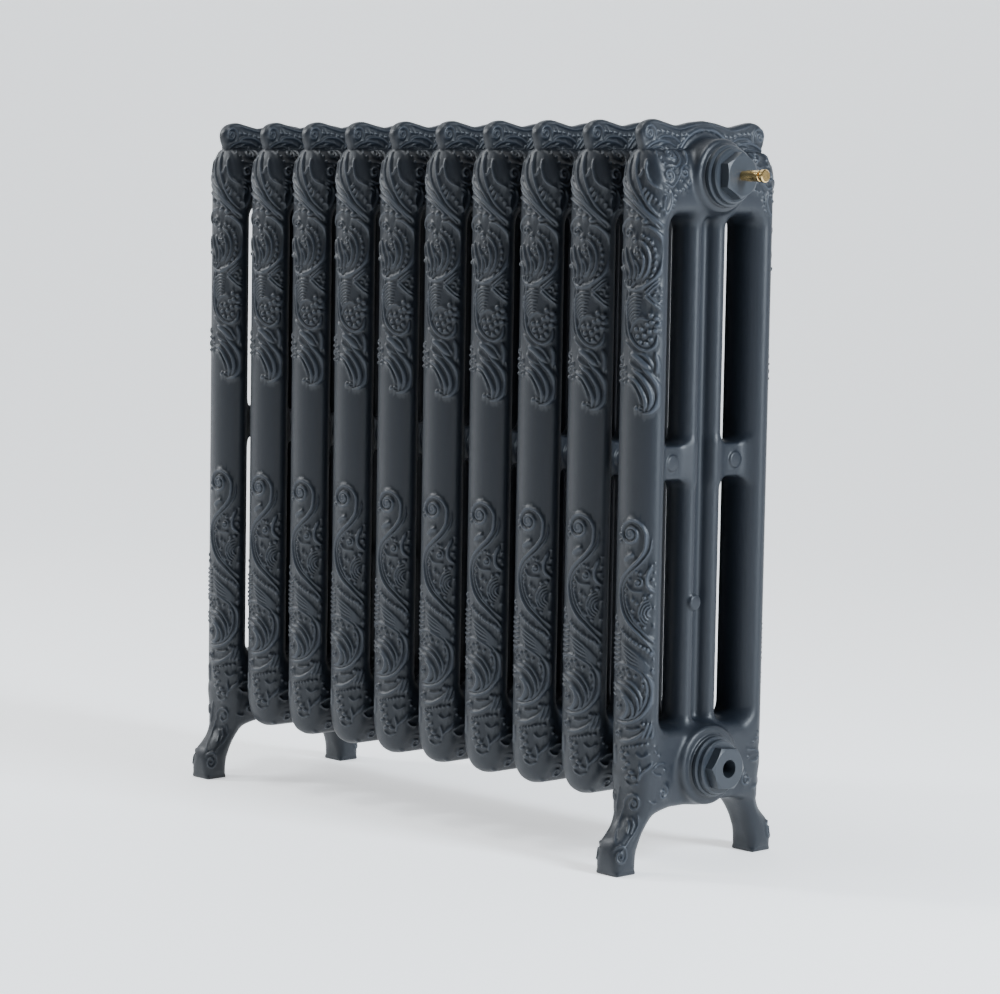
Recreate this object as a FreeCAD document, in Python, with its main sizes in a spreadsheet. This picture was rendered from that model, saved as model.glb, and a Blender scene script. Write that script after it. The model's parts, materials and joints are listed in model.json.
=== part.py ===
import FreeCAD, Part
import Sketcher
import math
import os

# Ten-section cast iron column radiator.
#
# Frame: millimetres, +Z up from the floor, +X along the bank, -Y the room side.
# The origin is on the floor below the middle of the overall box.
# Every section is one hollow casting.  Neighbours are drawn together by hollow
# nipples at the two port heights, with a thin gasket between the hub faces.

Vector = FreeCAD.Vector

SIZES = {
    # the bank
    "section_count": 10,
    "section_pitch": 75.0,
    "overall_height": 760.0,
    "port_low": 105.0,
    "port_high": 705.0,
    # a casting, seen from above
    "panel_half_width": 29.0,
    "face_crown": 92.0,
    "face_edge": 85.0,
    "panel_turn": 78.0,
    "panel_back": 59.0,
    "lobe_offset": 16.0,
    "lobe_half_width": 18.0,
    "lobe_half_depth": 12.0,
    "lobe_web": 14.0,
    "wall": 4.5,
    # a casting, seen from the side
    "underside": 64.0,
    "window_bottom": 145.0,
    "window_top": 665.0,
    "bridge_bottom": 398.0,
    "bridge_height": 35.0,
    "bridge_thickness": 20.0,
    "bridge_boss_radius": 8.75,
    "bridge_boss_rise": 3.0,
    "bridge_boss_depth": 44.0,
    "waist_height": 140.0,
    "face_bottom": 118.0,
    "shoulder_height": 690.0,
    "low_header_half_height": 34.0,
    "high_header_half_height": 25.0,
    "high_header_drop": 10.0,
    "header_end_wall": 22.0,
    "crest_thickness": 12.0,
    "crest_end": 90.0,
    "neck_height": 730.0,
    "neck_depth": 86.0,
    # feet of the two end castings
    "foot_centre": 100.5,
    "foot_half_depth": 14.5,
    "foot_half_width": 17.0,
    "sole_height": 14.0,
    # hubs, nipples and gaskets
    "hub_face": 37.0,
    "hub_ring_radius": 32.0,
    "hub_bore_radius": 21.0,
    "hub_low_base_radius": 41.0,
    "hub_high_base_radius": 37.0,
    "hub_base_rise": 5.0,
    "thread_clearance": 0.05,
    "nipple_length": 30.0,
    "nipple_wall": 4.0,
    "lug_size": 4.0,
    "gasket_thickness": 1.0,
    "gasket_inner_radius": 22.0,
    "gasket_outer_radius": 27.5,
    # hexagon bushes in the end hubs
    "bush_collar_radius": 31.0,
    "bush_collar_thickness": 5.0,
    "bush_flange_radius": 28.0,
    "bush_flange_thickness": 6.0,
    "bush_shank_length": 16.0,
    "bush_hexagon_across_flats": 41.0,
    "bush_hexagon_length": 11.0,
    "pipe_bore_radius": 9.32,
    "vent_bore_radius": 4.8,
    # brass air vent, distances out from the bush's outer face
    "vent_stem_depth": 12.0,
    "vent_neck_radius": 5.0,
    "vent_neck_length": 6.0,
    "vent_barrel_radius": 5.7,
    "vent_barrel_length": 18.0,
    "vent_chamber_radius": 3.5,
    "vent_seat_depth": 3.0,
    "vent_inlet_radius": 1.6,
    "vent_outlet_radius": 1.0,
    "vent_head_radius": 6.5,
    "vent_head_length": 5.0,
    "vent_head_gap": 2.0,
    "vent_seal_radius": 3.2,
    "vent_seal_thickness": 1.5,
}

doc = FreeCAD.newDocument("cast_iron_radiator")
sheet = doc.addObject("Spreadsheet::Sheet", "Sizes")
for row, (alias, number) in enumerate(SIZES.items(), start=1):
    sheet.set(f"A{row}", alias)
    sheet.set(f"B{row}", str(number))
    sheet.setAlias(f"B{row}", alias)
doc.recompute()


def size(alias):
    return float(sheet.get(alias))


# ---- sketches and features ----

def new_body(name):
    body = doc.addObject("PartDesign::Body", name)
    body.Label = name
    return body


def new_sketch(body, name, role, height=None):
    """A sketch on one of the body's own planes, lifted by an expression if given."""
    sketch = body.newObject("Sketcher::SketchObject", name)
    plane = next(item for item in body.Origin.OriginFeatures if item.Role == role)
    sketch.AttachmentSupport = [(plane, "")]
    sketch.MapMode = "FlatFace"
    if height:
        sketch.setExpression("AttachmentOffset.Base.z", height)
    return sketch


def point(pair):
    return Vector(pair[0], pair[1], 0)


def draw(sketch, start, steps):
    """A closed outline: each step is an end point, a list of points, or a ready-made arc.

    In a list, one point before the end bends the step into an arc, and more make a curve.
    """
    here = start
    for step in steps + [start]:
        if isinstance(step, Part.ArcOfEllipse):
            sketch.addGeometry(step)
            here = (step.EndPoint.x, step.EndPoint.y)
            continue
        path = step if isinstance(step, list) else [step]
        end = path[-1]
        if end == here:
            continue
        if len(path) == 1:
            edge = Part.LineSegment(point(here), point(end))
        elif len(path) == 2:
            edge = Part.Arc(point(here), point(path[0]), point(end))
        else:
            edge = Part.BSplineCurve()
            edge.interpolate([point(here)] + [point(pair) for pair in path])
        sketch.addGeometry(edge)
        here = end


def arc_of_ellipse(centre, half, depth, first, last):
    """Part of an ellipse on the vertical axis, anticlockwise between two angles in degrees."""
    whole = Part.Ellipse(point((0, centre)), half, depth)
    return Part.ArcOfEllipse(whole, math.radians(first), math.radians(last))


def half_ellipse(centre, half, reach):
    """The upper half of an ellipse for a positive reach, and the lower half for a negative one."""
    first = 0 if reach > 0 else 180
    return arc_of_ellipse(centre, half, abs(reach), first, first + 180)


def circle(sketch, centre, radius):
    """A circle whose radius is bound to the sheet."""
    seed = Part.Circle(point(centre), Vector(0, 0, 1), 1.0)
    edge = sketch.addGeometry(seed)
    rule = sketch.addConstraint(Sketcher.Constraint("Radius", edge, 1.0))
    sketch.setExpression(f"Constraints[{rule}]", radius)
    sketch.addConstraint(Sketcher.Constraint("DistanceX", -1, 1, edge, 3, centre[0]))
    sketch.addConstraint(Sketcher.Constraint("DistanceY", -1, 1, edge, 3, centre[1]))


def feature(body, kind, name, sketch, length=None, symmetric=False):
    item = body.newObject(f"PartDesign::{kind}", name)
    item.Profile = sketch
    if length:
        item.setExpression("Length", length)
    if symmetric:
        item.SideType = "Symmetric"
    return item


def revolve(body, kind, name, sketch, axis="X_Axis"):
    """Turn a sketch about one of the body's own axes."""
    item = body.newObject(f"PartDesign::{kind}", name)
    item.Profile = sketch
    line = next(part for part in body.Origin.OriginFeatures if part.Role == axis)
    item.ReferenceAxis = (line, [""])
    item.Angle = 360
    return item


def mirrored(steps):
    """The same steps on the other side of the sketch's vertical axis, end to end."""
    flipped = []
    for step in steps:
        flipped.append([(-u, v) for u, v in step] if isinstance(step, list) else (-step[0], step[1]))
    return flipped


def backwards(start, steps):
    """The outline that runs from the end of these steps back to their start."""
    flat = [start] + [step[-1] if isinstance(step, list) else step for step in steps]
    bends = [step[:-1] if isinstance(step, list) else [] for step in steps]
    result = []
    for index in range(len(steps) - 1, -1, -1):
        end = flat[index]
        bend = bends[index][::-1]
        result.append(bend + [end] if bend else end)
    return result


def draw_symmetric(sketch, start, half):
    """A closed outline from one half, which starts and ends on the vertical axis."""
    draw(sketch, start, half + mirrored(backwards(start, half)))


# ---- the castings ----

def crest_edge():
    """Half of the wavy top edge: from the middle hump out to the end scroll and its neck."""
    top = size("overall_height")
    end = size("crest_end")
    return [[(18, top - 2), (38, top - 5.5), (56, top - 2.5), (71, top), (84, top - 4),
             (end, top - 13), (end - 1.5, top - 23), (size("neck_depth"), size("neck_height"))]]


def foot_edge():
    """A foot from the waist of the face, round the toe and up to the header's underside."""
    toe = size("foot_centre") + size("foot_half_depth")
    heel = size("foot_centre") - size("foot_half_depth")
    sole = size("sole_height")
    under = size("underside")
    return [[(89, 96), (88, 84), (93, 56), (101, 36), (toe - 3, 26), (toe, sole)],
            (toe, 0), (heel, 0), (heel, sole - 4),
            [(81, 24), (74, 42), (62, 57), (46, under)]]


def plain_lower_edge():
    """The rounded lower corner of a casting without feet."""
    return [[(88, 82), (68, size("underside"))]]


def casting_outline(body, has_feet):
    """The casting from the side, padded to the full width of a panel."""
    face = size("face_crown")
    sketch = new_sketch(body, "side_view", "YZ_Plane")
    start = (0, size("overall_height"))
    half = crest_edge() + [[(90, 718), (face, 700)], (face, size("face_bottom"))]
    half += foot_edge() if has_feet else plain_lower_edge()
    draw_symmetric(sketch, start, half + [(0, size("underside"))])
    feature(body, "Pad", "side_pad", sketch, "Sizes.panel_half_width * 2", symmetric=True)


def trim_front_view(body, has_feet):
    """Shoulders that narrow to the crest, and flanks that narrow to the foot or underside."""
    half = size("panel_half_width")
    crest = size("crest_thickness") / 2
    foot = size("foot_half_width")
    out = half + 12
    above = size("overall_height") + 5
    shoulder = size("shoulder_height")
    waist = size("waist_height")
    sketch = new_sketch(body, "front_view", "XZ_Plane")
    for side in (-1, 1):
        draw(sketch, (side * half, shoulder),
             [[(side * (half - 3), shoulder + 22), (side * (crest + 1), size("neck_height") + 1)],
              (side * crest, above), (side * out, above), (side * out, shoulder)])
        if has_feet:
            bottom = -5
            flank = [[(side * 26, 96), (side * 22.5, 60), (side * 19, 32), (side * foot, 14)],
                     (side * foot, bottom)]
        else:
            bottom = size("underside") - 2
            flank = [[(side * 26, 84), (side * 16, bottom)]]
        draw(sketch, (side * half, waist), flank + [(side * out, bottom), (side * out, waist)])
    cut = feature(body, "Pocket", "front_trim", sketch, symmetric=True)
    cut.Type = "ThroughAll"


def crown_faces(body, has_feet):
    """Shallow crowned front and back faces with rounded long edges."""
    half = size("panel_half_width")
    edge = size("face_edge")
    turn = size("panel_turn")
    out = half + 3
    clear = size("foot_centre") + 40
    sketch = new_sketch(body, "face_crowns", "XY_Plane", "Sizes.neck_height")
    for side in (-1, 1):
        draw(sketch, (-half, side * turn),
             [[(-half + 1.6, side * (edge - 2.6)), (-half + 5, side * edge)],
              [(0, side * size("face_crown")), (half - 5, side * edge)],
              [(half - 1.6, side * (edge - 2.6)), (half, side * turn)],
              (out, side * turn), (out, side * clear), (-out, side * clear), (-out, side * turn)])
    depth = "Sizes.neck_height - 100" if has_feet else "Sizes.neck_height"
    feature(body, "Pocket", "face_trim", sketch, depth)


def double_tube(sketch):
    """The middle column from above: two round lobes side by side, joined by a web."""
    offset = size("lobe_offset")
    half = size("lobe_half_width")
    depth = size("lobe_half_depth")
    web = size("lobe_web") / 2
    turn = math.degrees(math.acos(web / half))
    inner = offset - depth * math.sin(math.radians(turn))
    draw(sketch, (web, inner),
         [arc_of_ellipse(offset, half, depth, -turn, 180 + turn), (-web, -inner),
          arc_of_ellipse(-offset, half, depth, 180 - turn, 360 + turn)])


def open_windows(body):
    """The tall gaps around the middle column, between the front and rear ones."""
    half = size("panel_half_width")
    turn = size("panel_turn")
    bulge = turn - size("panel_back")
    clear = half + 1
    sketch = new_sketch(body, "gaps", "XY_Plane", "Sizes.window_top")
    draw(sketch, (clear, -turn),
         [(half, -turn), half_ellipse(-turn, half, bulge), (-clear, -turn),
          (-clear, turn), (-half, turn), half_ellipse(turn, half, -bulge), (clear, turn)])
    double_tube(sketch)
    feature(body, "Pocket", "windows", sketch, "Sizes.window_top - Sizes.window_bottom")


def bridge_columns(body):
    """Flat webs halfway up that tie the columns, each with a round boss on both faces."""
    low = size("bridge_bottom")
    high = low + size("bridge_height")
    near = size("lobe_offset") + size("lobe_half_depth") / 3
    far = size("panel_back") + 5
    sketch = new_sketch(body, "bridges", "YZ_Plane")
    for side in (-1, 1):
        draw(sketch, (side * near, low), [(side * far, low), (side * far, high), (side * near, high)])
    feature(body, "Pad", "bridge_webs", sketch, "Sizes.bridge_thickness", symmetric=True)
    middle = (low + high) / 2
    sketch = new_sketch(body, "bosses", "YZ_Plane")
    for side in (-1, 1):
        circle(sketch, (side * size("bridge_boss_depth"), middle), "Sizes.bridge_boss_radius")
    feature(body, "Pad", "bridge_bosses", sketch,
            "Sizes.bridge_thickness + 2 * Sizes.bridge_boss_rise", symmetric=True)


def raise_hubs(body):
    """Round hubs on both flanks at the port heights, wide at the root and flat on the face."""
    for name in ("low", "high"):
        height = size(f"port_{name}")
        root = new_sketch(body, f"hub_root_{name}", "YZ_Plane")
        circle(root, (0, height), f"Sizes.hub_{name}_base_radius")
        feature(body, "Pad", f"hub_base_{name}", root,
                "2 * (Sizes.panel_half_width + Sizes.hub_base_rise)", symmetric=True)
        ring = new_sketch(body, f"hub_ring_{name}", "YZ_Plane")
        circle(ring, (0, height), "Sizes.hub_ring_radius")
        feature(body, "Pad", f"hub_{name}", ring, "2 * Sizes.hub_face", symmetric=True)


def hollow_columns(body):
    """A waterway in each column, one wall inside its outer face."""
    wall = size("wall")
    half = size("panel_half_width") - wall
    turn = size("panel_turn")
    lip = size("face_edge") - 1.5 * wall
    front = size("face_crown") - wall
    back = turn - size("panel_back") - wall
    lobe = size("lobe_half_width") - wall
    depth = size("lobe_half_depth") - wall
    sketch = new_sketch(body, "column_waterways", "XY_Plane", "Sizes.port_high")
    for side in (-1, 1):
        flank = side * half
        centre = side * size("lobe_offset")
        draw(sketch, (lobe, centre), [half_ellipse(centre, lobe, depth), half_ellipse(centre, lobe, -depth)])
        draw(sketch, (-flank, side * turn),
             [half_ellipse(side * turn, half, -side * back), (flank, side * lip),
              [(0, side * front), (-flank, side * lip)]])
    feature(body, "Pocket", "column_bores", sketch, "Sizes.port_high - Sizes.port_low")


def hollow_headers(body):
    """The bottom and top waterways that join the columns, and the bores through the hubs."""
    half = size("panel_half_width") - size("wall")
    sketch = new_sketch(body, "header_waterways", "XZ_Plane")
    low = (size("port_low"), size("low_header_half_height"))
    high = (size("port_high") - size("high_header_drop"), size("high_header_half_height"))
    for height, reach in (low, high):
        outline = Part.Ellipse(point((0, height + reach)), point((half, height)), point((0, height)))
        sketch.addGeometry(outline)
    feature(body, "Pocket", "header_bores", sketch, "(Sizes.face_crown - Sizes.header_end_wall) * 2", symmetric=True)
    ports = new_sketch(body, "ports", "YZ_Plane")
    for name in ("port_low", "port_high"):
        circle(ports, (0, size(name)), "Sizes.hub_bore_radius")
    bores = feature(body, "Pocket", "port_bores", ports, symmetric=True)
    bores.Type = "ThroughAll"


def make_section(name, has_feet):
    body = new_body(name)
    casting_outline(body, has_feet)
    trim_front_view(body, has_feet)
    crown_faces(body, has_feet)
    open_windows(body)
    bridge_columns(body)
    raise_hubs(body)
    hollow_columns(body)
    hollow_headers(body)
    return body


# ---- what joins and closes the castings ----

def ring(sketch, outer, inner):
    circle(sketch, (0, 0), outer)
    circle(sketch, (0, 0), inner)


def make_nipple(name):
    """A hollow push nipple with two lugs inside for the assembly key."""
    body = new_body(name)
    tube = new_sketch(body, "tube_ring", "YZ_Plane")
    ring(tube, "Sizes.hub_bore_radius - Sizes.thread_clearance",
         "Sizes.hub_bore_radius - Sizes.nipple_wall")
    feature(body, "Pad", "tube", tube, "Sizes.nipple_length", symmetric=True)
    inside = size("hub_bore_radius") - size("nipple_wall")
    lug = size("lug_size")
    lugs = new_sketch(body, "lug_outlines", "YZ_Plane")
    for side in (-1, 1):
        draw(lugs, (side * (inside - lug), -lug / 2),
             [(side * (inside + 1), -lug / 2), (side * (inside + 1), lug / 2),
              (side * (inside - lug), lug / 2)])
    feature(body, "Pad", "lugs", lugs, "Sizes.nipple_length / 3", symmetric=True)
    return body


def make_gasket(name):
    """A thin flat ring whose first face lies on the hub."""
    body = new_body(name)
    sketch = new_sketch(body, "gasket_ring", "YZ_Plane")
    ring(sketch, "Sizes.gasket_outer_radius", "Sizes.gasket_inner_radius")
    feature(body, "Pad", "gasket", sketch, "Sizes.gasket_thickness")
    return body


def hexagon(sketch, across_flats, turn):
    """A regular hexagon with a flat facing the sketch's first axis, then turned."""
    corner = across_flats / 2 / math.cos(math.radians(30))
    angles = [math.radians(turn + 30 + 60 * index) for index in range(6)]
    corners = [(corner * math.cos(angle), corner * math.sin(angle)) for angle in angles]
    draw(sketch, corners[0], corners[1:])


def make_bush(name, turn, bore=None):
    """A hexagon-headed bush: its x = 0 lies on the hub face, and its shank fills the hub bore."""
    body = new_body(name)
    seat = size("gasket_thickness")
    collar = seat + size("bush_collar_thickness")
    rim = size("bush_collar_radius")
    step = collar + size("bush_flange_thickness")
    face = step + size("bush_hexagon_length")
    shank = size("hub_bore_radius") - size("thread_clearance")
    flange = size("bush_flange_radius")
    inner_end = seat - size("bush_shank_length")
    profile = new_sketch(body, "shank_and_flange", "XZ_Plane")
    draw(profile, (inner_end, 0),
         [(inner_end, shank), (seat, shank), (seat, rim), (collar - 1.5, rim), (collar, rim - 1.5),
          (collar, flange), (step - 1.5, flange), (step, flange - 1.5), (step, 0)])
    revolve(body, "Revolution", "turned_body", profile)
    head = new_sketch(body, "hexagon_outline", "YZ_Plane",
                      "Sizes.gasket_thickness + Sizes.bush_collar_thickness + Sizes.bush_flange_thickness")
    across = size("bush_hexagon_across_flats")
    hexagon(head, across, turn)
    feature(body, "Pad", "hexagon", head, "Sizes.bush_hexagon_length")
    corner = new_sketch(body, "corner_relief", "XZ_Plane")
    rise = across / 2 * 0.2
    draw(corner, (face, across / 2 - 0.5),
         [(face, across / 2 + rise), (face - rise * math.tan(math.radians(30)), across / 2 + rise)])
    revolve(body, "Groove", "rounded_corners", corner)
    if bore:
        hole = new_sketch(body, "bore_outline", "YZ_Plane")
        circle(hole, (0, 0), bore)
        feature(body, "Pocket", "bore", hole, symmetric=True).Type = "ThroughAll"
    return body


# ---- the brass air vent: x = 0 lies on the outer face of its bush ----

def vent_seat():
    return size("vent_neck_length") + size("vent_seat_depth")


def make_vent_body(name):
    body = new_body(name)
    stem = size("vent_bore_radius") - size("thread_clearance")
    neck = size("vent_neck_length")
    mouth = neck + size("vent_barrel_length")
    barrel = size("vent_barrel_radius")
    chamber = size("vent_chamber_radius")
    inlet = size("vent_inlet_radius")
    inner_end = -size("vent_stem_depth")
    profile = new_sketch(body, "turned_outline", "XZ_Plane")
    draw(profile, (inner_end, inlet),
         [(inner_end, stem), (0, stem), (0, size("vent_neck_radius")),
          (neck, size("vent_neck_radius")), (neck, barrel - 0.5), (neck + 0.5, barrel),
          (mouth - 0.5, barrel), (mouth, barrel - 0.5), (mouth, chamber),
          (vent_seat(), chamber), (vent_seat(), inlet)])
    revolve(body, "Revolution", "turned_body", profile)
    outlet = new_sketch(body, "outlet_outline", "XY_Plane")
    circle(outlet, (vent_seat() + 2, 0), "Sizes.vent_outlet_radius")
    feature(body, "Pocket", "outlet", outlet, "Sizes.vent_barrel_radius + 1")
    return body


def make_vent_seal(name):
    """The loose pad that the spindle presses on the seat."""
    body = new_body(name)
    pad = new_sketch(body, "pad_outline", "YZ_Plane", "Sizes.vent_neck_length + Sizes.vent_seat_depth")
    circle(pad, (0, 0), "Sizes.vent_seal_radius")
    feature(body, "Pad", "pad", pad, "Sizes.vent_seal_thickness")
    return body


def make_vent_spindle(name):
    """The bleed screw: a shank in the chamber and a round head that is turned by hand."""
    body = new_body(name)
    tip = vent_seat() + size("vent_seal_thickness")
    head = size("vent_neck_length") + size("vent_barrel_length") + size("vent_head_gap")
    end = head + size("vent_head_length")
    shank = size("vent_chamber_radius") - size("thread_clearance")
    radius = size("vent_head_radius")
    profile = new_sketch(body, "turned_outline", "XZ_Plane")
    draw(profile, (tip, 0), [(tip, shank), (head, shank), (head, radius - 0.5),
                             (head + 0.5, radius), (end - 1, radius), (end, radius - 1), (end, 0)])
    revolve(body, "Revolution", "turned_body", profile)
    return body


# ---- the assembly ----

VENT_REACH = "(Sizes.vent_neck_length + Sizes.vent_barrel_length + Sizes.vent_head_gap" \
             " + Sizes.vent_head_length)"
BUSH_REACH = "(Sizes.gasket_thickness + Sizes.bush_collar_thickness" \
             " + Sizes.bush_flange_thickness + Sizes.bush_hexagon_length)"
COUNT = int(size("section_count"))
PORTS = (("bottom", "Sizes.port_low"), ("top", "Sizes.port_high"))


def section_x(index, offset="0"):
    """Where a section's middle stands, with the vent's reach balanced about the origin."""
    place = f"Sizes.section_pitch * ({index} - (Sizes.section_count + 1) / 2)"
    return f"{place} - {VENT_REACH} / 2 + ({offset})"


def put(body, along, height=None, turned=False):
    """Place a body along the bank and at a port height; turned bodies face the other end."""
    if turned:
        body.Placement = FreeCAD.Placement(Vector(0, 0, 0), FreeCAD.Rotation(Vector(0, 0, 1), 180))
    body.setExpression(".Placement.Base.x", along)
    if height:
        body.setExpression(".Placement.Base.z", height)
    return body


parts = []
for index in range(1, COUNT + 1):
    at_end = index in (1, COUNT)
    end_name = {1: "left_end_section", COUNT: "right_end_section"}
    section = make_section(end_name.get(index, f"middle_section_{index}"), at_end)
    parts.append(put(section, section_x(index)))

for level, port in PORTS:
    for index in range(1, COUNT):
        nipple = make_nipple(f"{level}_nipple_{index}")
        parts.append(put(nipple, section_x(index, "Sizes.section_pitch / 2"), port))
        gasket = make_gasket(f"{level}_gasket_{index}")
        parts.append(put(gasket, section_x(index, "Sizes.hub_face"), port))

BUSHES = (
    ("bottom_left_bush", "Sizes.port_low", 1, 6, "Sizes.pipe_bore_radius"),
    ("bottom_right_bush", "Sizes.port_low", COUNT, 25, "Sizes.pipe_bore_radius"),
    ("top_left_plug", "Sizes.port_high", 1, 12, None),
    ("top_right_vent_bush", "Sizes.port_high", COUNT, 0, "Sizes.vent_bore_radius"),
)
for name, port, index, turn, bore in BUSHES:
    left = index == 1
    hub = section_x(index, "-Sizes.hub_face" if left else "Sizes.hub_face")
    parts.append(put(make_bush(name, turn, bore), hub, port, turned=left))
    parts.append(put(make_gasket(f"{name}_gasket"), hub, port, turned=left))

bush_face = section_x(COUNT, f"Sizes.hub_face + {BUSH_REACH}")
for make, name in ((make_vent_body, "vent_body"), (make_vent_seal, "vent_seal"),
                   (make_vent_spindle, "vent_spindle")):
    parts.append(put(make(name), bush_face, "Sizes.port_high"))

doc.recompute()

failed = [item.Name for item in doc.Objects if {"Invalid", "Error"} & set(item.State)]
if failed:
    raise RuntimeError(f"these objects did not build: {failed}")
for part in parts:
    if part.Shape.isNull() or not part.Shape.isValid() or len(part.Shape.Solids) != 1:
        raise RuntimeError(f"{part.Label} is not one valid solid")

os.makedirs("parts", exist_ok=True)
for part in parts:
    part.Shape.exportStep(f"parts/{part.Label}.step")
print(len(parts), "parts written")
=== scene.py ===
import json
import math

import bpy
import numpy as np
import openvdb
from mathutils import Matrix, Vector
from mathutils.kdtree import KDTree


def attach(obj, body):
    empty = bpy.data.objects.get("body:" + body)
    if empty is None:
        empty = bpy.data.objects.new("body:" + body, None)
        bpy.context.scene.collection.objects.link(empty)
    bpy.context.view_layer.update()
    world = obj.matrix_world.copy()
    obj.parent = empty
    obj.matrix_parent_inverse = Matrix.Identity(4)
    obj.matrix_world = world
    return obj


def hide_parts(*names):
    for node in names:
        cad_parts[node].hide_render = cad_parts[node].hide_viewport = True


# Ten-section cast iron radiator with raised scroll ornament.
#
# Lengths of the castings are millimetres in their own coordinates: x along the bank from
# the middle of the casting, y from its middle towards the back, z up from the floor.
# A casting is a signed distance on a grid, negative inside, turned into a surface.
# Its ornament is a drawing of ribs and beads that lifts the surface along its normals.

MM = 0.001

# the bank: FIRST_X is the middle of the left end section
SECTIONS = 10
PITCH = 75.0
FIRST_X = -353.0
HEIGHT = 760.0
PORT_LOW = 105.0
PORT_HIGH = 705.0

# a casting from above: the front column and the two round lobes of the middle one
PANEL_HALF = 29.0
FACE = 92.0
CROWN = 0.0131
PANEL_TURN = 78.0
PANEL_BACK = 59.0
LOBE_OFFSET = 17.0
LOBE_HALF = 18.0
LOBE_DEPTH = 11.0
LOBE_TIE_HALF = 5.0

# a casting from the side and the front: heights, then the crest and the hubs
UNDERSIDE = 64.0
WINDOW_LOW = 145.0
WINDOW_HIGH = 665.0
SHOULDER = 690.0
NECK = 730.0
CREST_HALF = 6.0
HUB_FACE = 37.0
HUB_RING = 32.0
HUB_BORE = 21.0
HUB_ROOT_FACE = 34.0
HUB_ROOT_LOW = 41.0
HUB_ROOT_HIGH = 37.0

# the web between the columns, with a flat stud in the middle of each side
WEB_HEIGHT = 415.5
WEB_HALF = 14.0
WEB_TALL_HALF = 17.5
WEB_MIDDLE = 40.0
WEB_LONG_HALF = 24.0
STUD_MIDDLE = 46.0
STUD_RADIUS = 8.5
STUD_PROUD = 2.5

# the round boss on one side of the front lobe, and the room round it that joins may change
BOSS_Y = -13.0
BOSS_HEIGHT = 272.0
BOSS_RADIUS = 8.0
BOSS_FACE = 20.5
BOSS_ROOM = 15.0

# the outer edge of a leg, down to the toe: how far from the middle, and how high
TOE = [(80, 118), (88, 100), (88, 82), (90, 64), (95, 51), (103, 42), (110.5, 35), (114.3, 26),
       (115.2, 15), (114.5, 4)]

# the castings' grid and the drawings' grid
GRID = 1.0
DRAWING_STEP = 0.3

# the most triangles in a casting, and how evenly its surface is thinned to them
MOST_FACES = 195_000
EVENNESS = 0.006

# the view: angles in degrees, lengths in metres
VIEW_AZIMUTH = 47.29
VIEW_LIFT = 5.40
VIEW_ROLL = 0.96
VIEW_DISTANCE = 3.503
VIEW_SHIFT_RIGHT = 0.0379
VIEW_SHIFT_UP = 0.3490
LENS = 113.4

# the sweep that the radiator stands on, in metres
SWEEP_HALF = 30.0
SWEEP_FLAT = 2.6
SWEEP_BEND = 2.2
SWEEP_TOP = 9.0
SWEEP_STEPS = 12


# ---- signed distances ----

def meet(a, b, blend):
    """Where two shapes overlap, with their shared edge rounded."""
    near = np.maximum(blend - np.abs(a - b), 0) / blend
    return np.maximum(a, b) + near * near * blend / 4


def join(a, b, blend):
    """Both shapes together, with a fillet between them."""
    return -meet(-a, -b, blend)


def outline_distance(u, v, corners):
    """Distance from a closed outline, for a grid of points."""
    nearest = np.full(np.broadcast(u, v).shape, np.inf)
    inside = np.zeros(nearest.shape, bool)
    for (u0, v0), (u1, v1) in zip(corners, corners[1:] + corners[:1]):
        du, dv = u1 - u0, v1 - v0
        along = np.clip(((u - u0) * du + (v - v0) * dv) / max(du * du + dv * dv, 1e-9), 0, 1)
        nearest = np.minimum(nearest, np.hypot(u - u0 - along * du, v - v0 - along * dv))
        if dv:
            inside ^= ((v0 <= v) != (v1 <= v)) & (u < u0 + (v - v0) * du / dv)
    return np.where(inside, -nearest, nearest)


def smooth_path(points, spacing):
    """Points close together along a smooth curve through a few given ones."""
    given = np.array(points, float)
    ends = np.vstack([2 * given[0] - given[1], given, 2 * given[-1] - given[-2]])
    pieces = []
    for a, b, c, d in zip(ends, ends[1:], ends[2:], ends[3:]):
        count = max(2, int(np.hypot(*(c - b)) / spacing))
        t = np.linspace(0, 1, count, endpoint=False)[:, None]
        pieces.append(0.5 * (2 * b + (c - a) * t + (2 * a - 5 * b + 4 * c - d) * t ** 2
                             + (3 * b - a - 3 * c + d) * t ** 3))
    return np.vstack(pieces + [given[-1:]])


def curve(points, spacing=3.0):
    """A smooth stretch of an outline, as corners for outline_distance."""
    return [tuple(point) for point in smooth_path(points, spacing)]


# ---- the shape of a casting ----

def side_outline(has_feet):
    """Half of the casting from the side, closed well beyond the middle plane."""
    crest = curve([(0, 760), (18, 758), (38, 754.5), (56, 757.5), (71, 760), (84, 756),
                   (90, 747), (88.5, 737), (86, NECK), (90, 716), (FACE, 700)])
    if has_feet:
        lower = curve([(FACE, 118), (90, 100), (88, 84), (87, UNDERSIDE)])
    else:
        lower = curve([(FACE, 104), (90.5, 90), (87, 78), (80, 69), (68, UNDERSIDE)])
    return [(-40, HEIGHT)] + crest + lower + [(-40, UNDERSIDE)]


def front_outline(has_feet):
    """Half of the casting from the front: crest, shoulder, flank and lower end."""
    arc = [math.radians(angle) for angle in range(0, 91, 10)]
    shoulder = [(CREST_HALF + (PANEL_HALF - CREST_HALF) * math.cos(angle),
                 SHOULDER + (NECK - SHOULDER) * math.sin(angle)) for angle in arc]
    crest = [(-20, HEIGHT + 20), (CREST_HALF, HEIGHT + 20)]
    if has_feet:
        lower = curve([(PANEL_HALF, 142), (28, 118), (26, 96), (24, 76), (22, 50)])
    else:
        lower = curve([(PANEL_HALF, 122), (28, 106), (25, 91), (19, 79), (11, 70), (-8, UNDERSIDE)])
    return crest + shoulder[::-1] + lower + [(-20, lower[-1][1])]


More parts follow.
